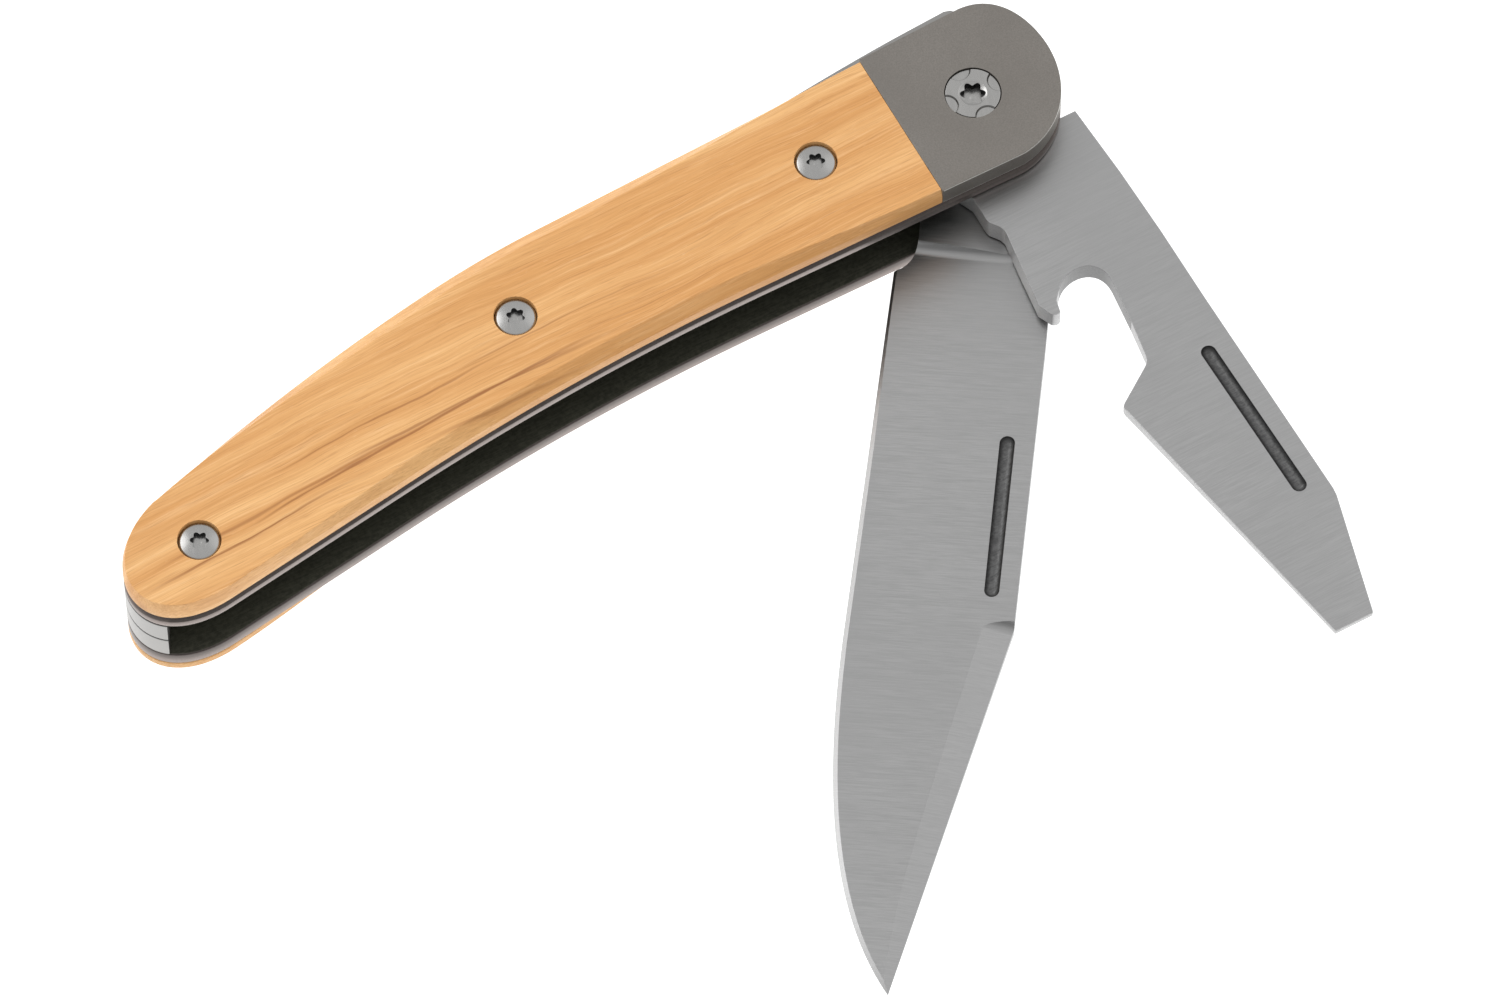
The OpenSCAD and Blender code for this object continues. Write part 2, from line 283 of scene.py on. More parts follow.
def finished(obj, node, body, material, sharp=32, others=()):
    """Scales a piece from millimetres, smooths its shading and puts it in a CAD node's place.

    others holds (material, test) pairs: faces that test(centre, normal) accepts get it instead.
    """
    faces = obj.data.polygons
    use = [0] * len(faces)
    for i, face in enumerate(faces):
        for k, (_, test) in enumerate(others):
            if test(face.center, face.normal):
                use[i] = k + 1
    obj.data.materials.clear()
    for m in (material, *(m for m, _ in others)):
        obj.data.materials.append(m)
    faces.foreach_set("material_index", use)
    obj.data.transform(Matrix.Scale(MM, 4))
    obj.data.shade_smooth()
    obj.data.set_sharp_from_angle(angle=math.radians(sharp))
    m = obj.modifiers.new("normals", "WEIGHTED_NORMAL")
    m.keep_sharp = True
    baked(obj)
    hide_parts(node)
    if body:
        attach(obj, body)
    return obj


# ---------------------------------------------------------------- materials
class Nodes:
    """A short way to wire a material's nodes. Coordinates are in millimetres."""

    def __init__(self, name):
        self.material = bpy.data.materials.new(name)
        self.material.use_nodes = True
        self.tree = self.material.node_tree
        self.shader = self.tree.nodes["Principled BSDF"]
        self.coords = self.node("ShaderNodeTexCoord").outputs["Object"]

    def node(self, kind, **settings):
        n = self.tree.nodes.new(kind)
        for key, value in settings.items():
            setattr(n, key, value)
        return n

    def put(self, socket, value):
        """Links a socket into another one, or sets it to a plain value."""
        if isinstance(value, bpy.types.NodeSocket):
            self.tree.links.new(value, socket)
        else:
            socket.default_value = value

    def mapping(self, vector, scale, offset=(0, 0, 0), turned=0):
        n = self.node("ShaderNodeMapping")
        self.put(n.inputs["Vector"], vector)
        n.inputs["Location"].default_value = offset
        n.inputs["Rotation"].default_value = (0, 0, math.radians(turned))
        n.inputs["Scale"].default_value = scale
        return n.outputs[0]

    def mapped(self, scale, turned=0, offset=(0, 0, 0)):
        """Object coordinates in millimetres, turned about Z, then scaled."""
        millimetres = self.mapping(self.coords, (1 / MM,) * 3, turned=turned)
        return self.mapping(millimetres, scale, offset)

    def axes(self):
        """The three object coordinates in millimetres."""
        return self.split(self.mapped((1, 1, 1)))

    def noise(self, vector, detail=2, rough=0.5):
        n = self.node("ShaderNodeTexNoise")
        self.put(n.inputs["Vector"], vector)
        n.inputs["Scale"].default_value = 1
        n.inputs["Detail"].default_value = detail
        n.inputs["Roughness"].default_value = rough
        return n.outputs["Fac"]

    def math(self, operation, a, b=0.0, c=0.0):
        n = self.node("ShaderNodeMath", operation=operation)
        for socket, value in zip(n.inputs, (a, b, c)):
            self.put(socket, value)
        return n.outputs[0]

    def away(self, value, centre):
        """Distance of value from centre."""
        return self.math("ABSOLUTE", self.math("SUBTRACT", value, centre))

    def ranged(self, value, low, high, to_low=0.0, to_high=1.0):
        """Maps low to to_low and high to to_high, with soft ends and no overshoot."""
        n = self.node("ShaderNodeMapRange", interpolation_type="SMOOTHSTEP")
        for name, v in (("Value", value), ("From Min", low), ("From Max", high),
                        ("To Min", to_low), ("To Max", to_high)):
            self.put(n.inputs[name], v)
        return n.outputs[0]

    def mix(self, factor, a, b):
        """Mixes two colours."""
        n = self.node("ShaderNodeMix", data_type="RGBA")
        self.put(n.inputs["Factor"], factor)
        colours = [s for s in n.inputs if s.type == "RGBA"]
        for socket, value in zip(colours, (a, b)):
            if not isinstance(value, bpy.types.NodeSocket):
                value = (*value, 1)
            self.put(socket, value)
        return [s for s in n.outputs if s.type == "RGBA"][0]

    def split(self, vector):
        n = self.node("ShaderNodeSeparateXYZ")
        self.put(n.inputs[0], vector)
        return n.outputs

    def bump(self, height, distance, strength=1.0):
        n = self.node("ShaderNodeBump")
        self.put(n.inputs["Height"], height)
        n.inputs["Distance"].default_value = distance * MM
        n.inputs["Strength"].default_value = strength
        self.put(self.shader.inputs["Normal"], n.outputs[0])

    def set(self, **values):
        """Sets the shader's sockets, named with _ for a space, and gives the material."""
        for name, value in values.items():
            self.put(self.shader.inputs[name.replace("_", " ")], value)
        return self.material


def satin_steel(name, colour, turned, rough=(0.33, 0.40), lines=14.0, depth=0.0016, dirt=0.05,
                seams=()):
    """Ground steel with fine lines along Y after turning about Z, lines of them in a millimetre.
    The heights in seams, where two plates meet, get a painted line of shade towards the tail, for
    the shadow in the joint."""
    n = Nodes(name)
    fine = n.noise(n.mapped((lines, 0.35, 2), turned), detail=3, rough=0.7)
    coarse = n.noise(n.mapped((lines * 0.35, 0.08, 0.6), turned, (3, 1, 2)), detail=2)
    speckle = n.noise(n.mapped((22, 22, 22), turned), detail=1)
    cloud = n.noise(n.mapped((0.07, 0.07, 0.07), turned, (4, 2, 7)), detail=3)
    both = n.math("MULTIPLY_ADD", fine, 0.65, n.math("MULTIPLY", coarse, 0.2))
    both = n.math("MULTIPLY_ADD", speckle, 0.15, both)
    dark = [c * (1 - dirt) for c in colour]
    light = [min(1, c * (1 + dirt)) for c in colour]
    shade = n.mix(n.ranged(both, 0.38, 0.62), dark, light)
    shade = n.mix(n.ranged(cloud, 0.35, 0.7, 0, 0.5), shade, [c * 0.94 for c in colour])
    x, _, z = n.axes()
    # Painted shade: a dark line along each seam height, stronger towards the tail, standing in for
    # the shadow between the plates
    for height in seams:
        joint_shade_mask = n.ranged(n.away(z, height), 0.22, 0.06, 0, 0.8)
        seam_shadow = n.math("MULTIPLY", joint_shade_mask, n.ranged(x, -40, -60))
        shade = n.mix(seam_shadow, shade, [c * 0.12 for c in colour])
    n.bump(both, depth)
    return n.set(Base_Color=shade, Roughness=n.ranged(both, 0.35, 0.65, *rough), Metallic=1.0)


def blasted_titanium(name, colour, rough=(0.5, 0.62), grain=7.0, depth=0.012, metallic=1.0,
                     tops=()):
    """Fine bead-blasted grey metal with faint handling marks. Painted shade darkens the sides
    towards the heights in tops, where a plate's upper face is."""
    n = Nodes(name)
    pits = n.noise(n.mapped((grain,) * 3), detail=4, rough=0.7)
    cloud = n.noise(n.mapped((0.12,) * 3, 0, (3, 1, 5)), detail=4, rough=0.6)
    dark, light = [c * 0.9 for c in colour], [c * 1.1 for c in colour]
    shade = n.mix(n.ranged(pits, 0.3, 0.7), dark, light)
    shade = n.mix(n.ranged(cloud, 0.4, 0.75, 0, 0.35), shade, [c * 1.12 for c in colour])
    _, _, z = n.axes()
    # Painted shade: darker towards each height in tops, for the wall in shadow under the plate above
    for height in tops:
        shaded = n.ranged(n.away(z, height), 1.5, 0.2, 0, 0.7)
        shade = n.mix(shaded, shade, [c * 0.12 for c in colour])
    n.bump(pits, depth)
    return n.set(Base_Color=shade, Roughness=n.ranged(cloud, 0.3, 0.7, *rough), Metallic=metallic)


def olive_wood(name):
    """Oiled olive wood: straight fibres and soft bands along X, and a few brown streaks."""
    n = Nodes(name)
    warp = n.noise(n.mapped((0.022, 0.09, 0.09), 0, (1.3, 0.2, 0.4)), detail=2)
    sway = n.noise(n.mapped((0.11, 0.25, 0.2), 0, (7.3, 2.2, 1.4)), detail=2)
    x, y, z = n.axes()
    wander = n.math("MULTIPLY", n.math("SUBTRACT", warp, 0.5), 3.2)
    wander = n.math("MULTIPLY_ADD", n.math("SUBTRACT", sway, 0.5), 0.8, wander)
    across = n.math("ADD", y, wander)
    bent = n.node("ShaderNodeCombineXYZ")
    for socket, value in zip(bent.inputs, (x, across, z)):
        n.put(socket, value)

    def along(scale, offset, **settings):
        """Noise that follows the bent grain."""
        return n.noise(n.mapping(bent.outputs[0], scale, offset), **settings)

    bands = along((0.013, 0.30, 0.30), (2, 0.4, 0), detail=2, rough=0.5)
    rings = along((0.02, 1.3, 0.9), (5, 1, 2), detail=3, rough=0.6)
    fibres = along((0.10, 5.5, 5.5), (1, 3, 0), detail=4, rough=0.75)
    pores = along((0.30, 11.0, 11.0), (8, 2, 0), detail=2, rough=0.6)
    flecks = along((0.9, 6.0, 6.0), (3, 7, 1), detail=2, rough=0.6)

    shade = n.mix(n.ranged(bands, 0.36, 0.64), (0.68, 0.34, 0.115), (0.81, 0.465, 0.19))
    # Each layer: its noise, where it starts and is full, its strength and its colour
    for noise, low, high, strength, colour in (
            (rings, 0.50, 0.74, 0.36, (0.56, 0.25, 0.075)),
            (rings, 0.46, 0.28, 0.30, (0.92, 0.60, 0.31)),
            (fibres, 0.42, 0.66, 0.36, (0.50, 0.23, 0.07)),
            (fibres, 0.46, 0.32, 0.26, (0.95, 0.66, 0.38)),
            (pores, 0.56, 0.70, 0.36, (0.38, 0.16, 0.05)),
            (flecks, 0.66, 0.80, 0.22, (0.95, 0.68, 0.42))):
        shade = n.mix(n.ranged(noise, low, high, 0, strength), shade, colour)

    # Brown streaks: start and end along X, height at the start, slope, half width, strength
    for x0, x1, y0, slope, half, strength in (
            (-91, -64, -9.1, 0.035, 0.20, 0.90),
            (-90, -55, -7.4, 0.035, 0.24, 0.60),
            (-80, -38, -7.7, 0.060, 0.20, 0.85),
            (-76, -46, -3.9, 0.020, 0.16, 0.70),
            (-70, -36, -6.2, 0.010, 0.22, 0.70),
            (-62, -40, -8.0, 0.020, 0.28, 0.60),
            (-58, -28, -3.0, 0.020, 0.11, 0.50),
            (-44, -18, -4.9, 0.005, 0.10, 0.45)):
        centre = n.math("MULTIPLY_ADD", n.math("SUBTRACT", x, x0), slope, y0)
        ragged = n.math("MULTIPLY_ADD", n.math("SUBTRACT", fibres, 0.5), 0.5,
                        n.away(across, centre))
        core = n.ranged(ragged, half, half * 0.1)
        start = n.ranged(x, x0 - 1, x0 + 7)
        end = n.ranged(x, x1, x1 - 14)
        mask = n.math("MULTIPLY", n.math("MULTIPLY", core, start),
                      n.math("MULTIPLY", end, strength))
        shade = n.mix(mask, shade, (0.33, 0.125, 0.035))

    height = n.math("MULTIPLY_ADD", fibres, 0.6, n.math("MULTIPLY", pores, 0.4))
    n.bump(height, 0.02, 0.4)
    return n.set(Base_Color=shade, Roughness=n.ranged(fibres, 0.3, 0.7, 0.42, 0.55),
                 Coat_Weight=0.08, Coat_Roughness=0.4, Specular_IOR_Level=0.4)


def shade_metal(name, colour, rough=0.5):
    """Dark, slightly mottled metal, used as painted shade in recesses and the deep well."""
    n = Nodes(name)
    mottle = n.noise(n.mapped((2.5,) * 3), detail=4, rough=0.65)
    scratch = n.noise(n.mapped((0.6, 7, 7), 0, (4, 1, 2)), detail=2)
    both = n.math("MULTIPLY_ADD", mottle, 0.6, n.math("MULTIPLY", scratch, 0.4))
    dark, light = [c * 0.75 for c in colour], [c * 1.25 for c in colour]
    shade = n.mix(n.ranged(both, 0.35, 0.65), dark, light)
    n.bump(both, 0.01)
    return n.set(Base_Color=shade, Roughness=rough, Metallic=1.0)


WOOD = olive_wood("olive wood")
TITANIUM = blasted_titanium("blasted titanium", (0.285, 0.266, 0.244))
# Painted highlight: a light, glossier colour for the bolsters' rounded outer edges
EDGE_GLEAM = blasted_titanium("titanium edge highlight", (0.62, 0.60, 0.57), (0.3, 0.4), 5.0, 0.004, 0.3)
RIM = blasted_titanium("sawn steel", (0.52, 0.52, 0.52), (0.35, 0.45), 5.0, 0.004, 0.5)
HOOK = blasted_titanium("milled steel", (0.22, 0.22, 0.22), (0.35, 0.45), 5.0, 0.004, 0.5)
# The liners get painted shade near their upper faces, below the wood and beside the well
LINER = blasted_titanium("liner titanium", (0.31, 0.267, 0.248), (0.30, 0.42), 5.0, 0.004,
                         tops=(Z_WELL, Z_FRONT_COVER))
# Painted shade: a dark metal on the faces in the deep well, where little light reaches
WELL_SHADE = shade_metal("painted well shade", (0.17, 0.17, 0.135), 0.6)
# Painted shade: a dark metal inside the nail nicks
NICK_SHADE = shade_metal("nail nick", (0.14, 0.14, 0.14), 0.5)
# Painted shade: a near-black metal on the walls of the screws' six-lobed sockets
SOCKET = shade_metal("screw socket shade", (0.04, 0.04, 0.04), 0.5)
BLADE = satin_steel("blade steel", (0.425, 0.425, 0.425), -BLADE_ANGLE, dirt=0.09)
TOOL = satin_steel("tool steel", (0.43, 0.43, 0.43), -LIFTER_ANGLE, depth=0.0014, dirt=0.08)
# The spring steel gets painted lines of shade where the springs meet each other and the liners
SPRING = satin_steel("spring steel", (0.36, 0.355, 0.345), 90, (0.28, 0.4), 7.0,
                     seams=(Z_WELL, TOTAL_T / 2, Z_FRONT_LINER))
SCREW = satin_steel("screw steel", (0.44, 0.435, 0.425), 20, (0.22, 0.30), 3.0, 0.0004, 0.03)
BRONZE = satin_steel("washer bronze", (0.62, 0.40, 0.19), 0, (0.3, 0.45), 4.0)


# ---------------------------------------------------------------- handle
def clipped(pts, x_limit, left):
    """The part of a closed outline on one side of x = x_limit."""
    out = []
    for a, b in zip(pts, pts[1:] + pts[:1]):
        a_inside, b_inside = ((p.x <= x_limit) == left for p in (a, b))
        if a_inside:
            out.append(a.copy())
        if a_inside != b_inside:
            out.append(a.lerp(b, (x_limit - a.x) / (b.x - a.x)))
    return out


def inset(pts, width):
    """The outline moved inwards by width(p); the joint with the bolster stays straight."""
    out = []
    for i, p in enumerate(pts):
        before, after = pts[i - 1], pts[(i + 1) % len(pts)]
        on_joint = abs(p.x - BOLSTER_X) < 1e-3
        if on_joint:
            along = after - p if abs(before.x - BOLSTER_X) < 1e-3 else p - before
        else:
            along = after - before
        q = p + Vector((-along.y, along.x)).normalized() * width(p)
        if on_joint:
            q.x = BOLSTER_X
        out.append(q)
    return out


def on_spine(p):
    return p.x > TAIL_X and p.y > spine_y(p.x) - 2.5


def past_bolster(x):
    """0 at the bolster, 1 from mid handle on."""
    return smooth(x, BOLSTER_X, -34)


def front_facet(p):
    """Reach of the front cover's facet: wide in mid handle, thin at the tail and the bolster."""
    if on_spine(p):
        return 0.30 + 1.05 * smooth(p.x, -9, -38) * smooth(p.x, TAIL_X, -58)
    return 0.24 + (0.02 + 0.95 * past_bolster(p.x)) * smooth(p.x, -84, -52)


def back_facet(p):
    """The back cover is cut away more, so only a thin edge of it shows past its liner."""
    return 0.95 + 0.45 * past_bolster(p.x) * smooth(p.x, -88, -60)


def back_rim(p):
    """Along the belly the back cover stands in from its liner."""
    return 0 if on_spine(p) else 0.7 * smooth(p.x, -84, -66) * smooth(p.x, BOLSTER_X, -12)


def cover(side):
    """Wooden cover: an upright wall, then a facet up to the flat face."""
    wall, facet = (1.2, front_facet) if side == "front" else (0.85, back_facet)
    pts = clipped(OUTLINE, BOLSTER_X, True)
    if side == "back":
        pts = inset(pts, back_rim)
    rings = [(inset(pts, lambda p: 0.08), 0), (pts, 0.1), (pts, wall), (inset(pts, facet), COVER_T)]
    obj = from_rings("cover", [[(*p, Z_FRONT_COVER + z) for p in ring] for ring, z in rings])
    for p in COVER_SCREWS:
        cut(obj, cylinder("hole", p, SCREW_R + 0.15, Z_FRONT_COVER - PAST, TOTAL_T + PAST, 32),
            cylinder("counterbore", p, 2.0, TOTAL_T - SCREW_SEAT, TOTAL_T + PAST, 72))
    return bevelled(obj, 0.07, 20)


def torx(across, depth, z, turned=0):
    """Cutters for a six-lobed recess with its mouth at height z: the walls and a round floor."""
    ring = []
    for angle in range(0, 360, 3):
        lobe = (0.5 + 0.5 * math.cos(math.radians(6 * angle))) ** 0.75
        ring.append(across / 2 * (0.725 + 0.275 * lobe) * turn(angle + turned))
    bowl = 0.33 * across
    floor = []
    for i in range(11):
        way = turn(9 * i)
        floor.append((bowl * way.y, z - depth + bowl * (0.45 - 0.5 * way.x)))
    return (prism("torx", ring, z - depth, z + PAST),
            lathe("bowl", floor + [(0, floor[-1][1])], 48))


def cover_screw(turned):
    """Button-head screw, seat at z = 0."""
    head, rim, dome, shank, end = 1.9, 0.70, 0.28, 2.8, 0.2
    radius = (head * head + dome * dome) / (2 * dome)
    top = rim + dome
    profile = [(0, -shank), (SCREW_R - end, -shank), (SCREW_R, -shank + end), (SCREW_R, 0),
               (head - 0.06, 0), (head, 0.06), (head, rim - 0.16), (head - 0.02, rim - 0.08),
               (head - 0.08, rim - 0.02)]
    edge, steps = math.asin((head - 0.14) / radius), 16
    for i in range(steps):
        a = edge * (1 - i / steps)
        profile.append((radius * math.sin(a), top - radius + radius * math.cos(a)))
    profile.append((0, top))
    obj = lathe("screw", profile, 96)
    dip, dip_r = 0.12, 1.05
    dish = [(r, top - dip + dip * (r / dip_r) ** 3) for r in (0, 0.4, 0.7, 0.9, dip_r)]
    return cut(obj, lathe("dish", dish + [(dip_r + 0.05, top + 0.5), (0, top + 0.5)], 72),
               *torx(SOCKET_L, 0.62, top, turned))


def pivot_screw():
    """Wide flat screw with a dished middle and four shallow scallops, seat at z = 0."""
    head, thick, shank_r, shank, end = 2.55, 1.05, 1.25, 3.0, 0.25
    profile = [(0, -shank), (shank_r - end, -shank), (shank_r, -shank + end), (shank_r, 0),
               (head - 0.08, 0), (head, 0.08), (head, thick - 0.08), (head - 0.03, thick - 0.02),
               (head - 0.08, thick), (0, thick)]
    obj = lathe("pivot", profile, 120)
    dip, dip_r, steps = 0.28, 1.38, 12
    dish = [(dip_r * i / steps, thick - dip * (1 - (i / steps) ** 2.4)) for i in range(steps + 1)]
    cut(obj, lathe("dish", dish + [(dip_r + 0.04, thick + 0.5), (0, thick + 0.5)], 96),
        *torx(PIVOT_SOCKET_L, 0.95, thick, 34))
    scallop_r, deep, reach = 1.02, 0.17, 2.78
    high = thick + 3 * deep
    scallop = [(0, thick - deep), (scallop_r, thick - deep), (scallop_r + 3 * deep, high), (0, high)]
    for a in (0, 90, 180, 270):
        cut(obj, shifted(lathe("scallop", scallop, 120), *(reach * turn(a)), 0))
    return bevelled(obj, 0.02, 60)


def bolster(side):
    """Metal end plate, the same on both sides."""
    pts = clipped(OUTLINE, BOLSTER_X, False)
    obj = bevelled(prism("bolster", pts, Z_FRONT_COVER, TOTAL_T), 0.14, 40)
    return cut(obj, cylinder("bore", (0, 0), BARREL_R, Z_FRONT_COVER - PAST, TOTAL_T + PAST),
               cylinder("counterbore", (0, 0), 2.64, TOTAL_T - PIVOT_SEAT, TOTAL_T + PAST, 120))


def is_highlit_edge(centre, normal):
    """True for the rounded outer edge of a bolster's face, which gets a painted highlight."""
    return 0.25 < abs(normal.z) < 0.96 and centre.xy.length > 4 and centre.x > BOLSTER_X + 0.2


def liner(side):
    """Plate with a round rim beside the tools and a chamfer beside the wood, wide in front."""
    groove = 0.85 if side == "front" else 0.2
    rings, r, steps = [], 0.22, 6
    for i in range(steps + 1):
        a = math.pi / 2 * i / steps
        rings.append((r * (1 - math.sin(a)), Z_FRONT_LINER + r * (1 - math.cos(a))))
    rings += [(0, Z_FRONT_COVER - groove), (0.03, Z_FRONT_COVER - groove + 0.06),
              (groove, Z_FRONT_COVER)]
    obj = from_rings("liner", [[(*p, z) for p in inset(OUTLINE, lambda p: d)] for d, z in rings])
    z0, z1 = Z_FRONT_LINER - PAST, Z_FRONT_COVER + PAST
    cut(obj, cylinder("bore", (0, 0), BARREL_R, z0, z1))
    for p in COVER_SCREWS:
        cut(obj, cylinder("screw hole", p, SCREW_R, z0, z1, 32))
    return obj


def in_well(centre, normal):
    """True for the flat sides of the liners that face the tools, which get painted shade."""
    return abs(normal.z) > 0.98 and Z_WELL - 0.1 < centre.z < Z_FRONT_LINER + 0.1


def both_sides(make, name, material, node="", others=()):
    """Makes a front piece and its mirrored partner at the back. Their CAD nodes end in node,
    or in name where they are called the same."""
    for side in ("front", "back"):
        obj = make(side) if side == "front" else mirrored(make(side), TOTAL_T)
        obj.name = obj.data.name = f"{name}_{side}"
        finished(obj, f"{side}_{node or name}", "handle", material, others=others)


def in_socket(centres, reach):
    """A test for the upright walls of six-lobed recesses around these centres, which get painted
    shade.
    """
    def test(centre, normal):
        away = min((centre.xy - Vector(c)).length for c in centres)
        return abs(normal.z) < 0.5 and away < reach
    return test


def scale_screws(side):
    return joined([shifted(cover_screw(t), *p, TOTAL_T - SCREW_SEAT)
                   for p, t in zip(COVER_SCREWS, SCREW_TURNS)], "screws")


def seated_pivot_screw(side):
    return shifted(pivot_screw(), 0, 0, TOTAL_T - PIVOT_SEAT)


both_sides(cover, "cover", WOOD, node="scale")
both_sides(bolster, "bolster", TITANIUM, others=[(EDGE_GLEAM, is_highlit_edge)])
both_sides(liner, "liner", LINER, others=[(WELL_SHADE, in_well)])
both_sides(seated_pivot_screw, "pivot_screw", SCREW,
           others=[(SOCKET, in_socket([(0, 0)], PIVOT_SOCKET_L / 2 + 0.01))])
both_sides(scale_screws, "scale_screws", SCREW,
           others=[(SOCKET, in_socket(COVER_SCREWS, SOCKET_L / 2 + 0.01))])

# ---------------------------------------------------------------- tools
BLADE_NICK = (32.15, 6.4), (47.25, 6.45)    # both ends, in the tool's own frame
LIFTER_NICK = (32.1, 6.65), (47.8, 7.03)
NICK_R = 0.74
SEAT = 4.3          # from the pivot axis to a seated spring
CAM_R = 6.25        # of the tang's round end
STOP_X = 4.25       # shoulder that meets the spring's nose when the tool is open
SHUT = -174         # direction of a folded tool, in degrees


def tang_cuts(obj):
    """The two flats that rest on the spring, open and shut, and the pivot bore."""
    low, top = -PAST, TOOL_T + PAST
    shut = moved(box("seat", (SEAT, -6, low), (SEAT + 5, 6, top)),
                 Matrix.Rotation(math.radians(90 - SHUT), 4, "Z"))
    return cut(obj, box("seat", (-10, SEAT, low), (STOP_X, SEAT + 10, top)), shut,
               cylinder("bore", (0, 0), TOOL_BORE_R, low, top))


def nick(start, end, radius, z, depth):
    """Cutter for a round-bottomed nail nick sunk from height z: a rod with round ends."""
    start, run = Vector(start), Vector(end) - Vector(start)
    centre = z - depth + radius
    steps, sides = 10, 64
    rings = []
    for i in range(steps + 1):
        a = math.pi / 2 * i / steps
        rings.append((-radius * math.cos(a), radius * math.sin(a)))
    for i in range(steps + 1):
        a = math.pi / 2 * (1 - i / steps)
        rings.append((run.length + radius * math.cos(a), radius * math.sin(a)))
    bm = bmesh.new()
    rows = []
    for x, r in rings:
        if r < 1e-6:
            rows.append([bm.verts.new((x, 0, centre))])
        else:
            rows.append([bm.verts.new((x, r * math.cos(a), centre + r * math.sin(a)))
                         for a in (2 * math.pi * k / sides for k in range(sides))])
    for low, high in zip(rows, rows[1:]):
        for k in range(sides):
            m = (k + 1) % sides
            quad = (low[k % len(low)], low[m % len(low)], high[m % len(high)], high[k % len(high)])
            bm.faces.new(list(dict.fromkeys(quad)))
    placing = Matrix.Translation((*start, 0)) \
        @ Matrix.Rotation(math.atan2(run.y, run.x), 4, "Z")
    return moved(new_object(bm, "nick"), placing)


TIP = Vector((88, 1.17))
CLIP = Vector((50.8, 8.85))         # where the blade's back drops to the tip
EDGE_KNEE = Vector((52, -6.45))     # where the straight edge starts to curve
HEEL = Vector((15.05, -5.68))
GRIND_X, GRIND_Y = 13.3, 8.6        # the plunge, and the top of the ground flank
edge_line = [HEEL] + line(HEEL, EDGE_KNEE, 24)
edge_line += bezier(EDGE_KNEE, EDGE_KNEE + Vector((18.3, -0.38)),
                    TIP + Vector((-6.7, -5.3)), TIP, 36)[1:]
back_line = [Vector((12, 8.8)), Vector((16, 8.88)), Vector((22, 8.95))]
back_line += line((22, 8.95), CLIP, 12)


def tool(name, pts, bevel=0):
    """A tool's plate in its own frame, where it points along +X, with its tang finished."""
    obj = prism(name, pts, 0, TOOL_T)
    if bevel:
        bevelled(obj, bevel, 50)
    cut(obj, cylinder("cam", (0, 0), CAM_R, 0, TOOL_T, 128), operation="UNION")
    return tang_cuts(obj)


def blade():
    """Clip-point blade: a flat plate less its grinds on both faces."""
    choil = [(14.7, -5), (14.3, -4.55), (13.8, -4.2), (13.3, -3.98), (12.8, -3.85), (12.3, -3.74),
             (11.8, -3.7), (10, -3.8), (7.5, -4), (6.2, -5), (3, -5.4)]
    pts = [(0, 0), (STOP_X, SEAT), (STOP_X, 8.4), *back_line, *line(CLIP, TIP, 16)[:-1],
           *edge_line[::-1], *choil]
    obj = tool("blade", pts)
    for side in ("front", "back"):
        for cutter in (main_grind(), swedge(), edge_bevel()):
            cut(obj, cutter if side == "front" else mirrored(cutter, TOOL_T))
    cut(obj, nick(*BLADE_NICK, NICK_R, TOOL_T - 0.15, 0.6))
    return merged(obj)


def ground(x, y):
    """Height of the ground flank above the blade's rear face. The slope changes along the blade,
    which keeps the steel behind the cutting edge about equally thick."""
    t = max(0, (x - 15) / (TIP.x - 15))
    slope = 0.0765 - 0.030 * t + 0.0575 * t ** 8
    taper = math.tan(math.radians(0.25))
    return TOOL_T - slope * (GRIND_Y - y) - taper * (x - GRIND_X)


def main_grind():
    """Everything above the ground flank. The wheel leaves a round fillet at the plunge, so the
    line where it meets the flat slants back towards the heel."""
    fillet, slant, end_x, top = 1.2, 0.036, 92, TOOL_T + 3
    round_steps, flat_steps, row_steps = 30, 60, 40
    rows = []
    for j in range(row_steps + 1):
        y = GRIND_Y + 0.6 - 17 * j / row_steps
        centre = GRIND_X + 0.5 - slant * (GRIND_Y - y)
        row = []
        for i in range(round_steps + 1):
            a = math.radians(180 + 90 * i / round_steps)
            x = centre + fillet * math.cos(a)
            row.append((x, y, ground(x, y) + fillet * (1 + math.sin(a))))
        for i in range(1, flat_steps + 1):
            x = centre + (end_x - centre) * i / flat_steps
            row.append((x, y, ground(x, y)))
        rows.append(row + [(end_x, y, top), (centre - fillet, y, top)])
    return from_rings("grind", rows)


def swedge():
    """False edge along the clip, with a round scoop where it starts."""
    run = TIP - CLIP
    height, drop, tilt = 0.45, 0.4, -11
    placing = Matrix.Translation((*CLIP, TOOL_T / 2 + height)) \
        @ Matrix.Rotation(math.atan2(run.y, run.x), 4, "Z") \
        @ Matrix.Rotation(math.atan2(drop, run.length), 4, "Y") \
        @ Matrix.Rotation(math.radians(tilt), 4, "X")
    scoop, scoop_x, steps, end_x, top, slant = 1.5, 0.6, 24, 46, 5, 0.12
    profile = []
    for i in range(steps + 1):
        a = math.radians(180 + 90 * i / steps)
        profile.append((scoop_x + scoop * math.cos(a), scoop * (1 + math.sin(a))))
    profile += [(end_x, 0), (end_x, top), (scoop_x - scoop, top)]
    rows = [[(x - slant * y, y, z) for x, z in profile] for y in (-5, 3)]
    return moved(from_rings("swedge", rows), placing)


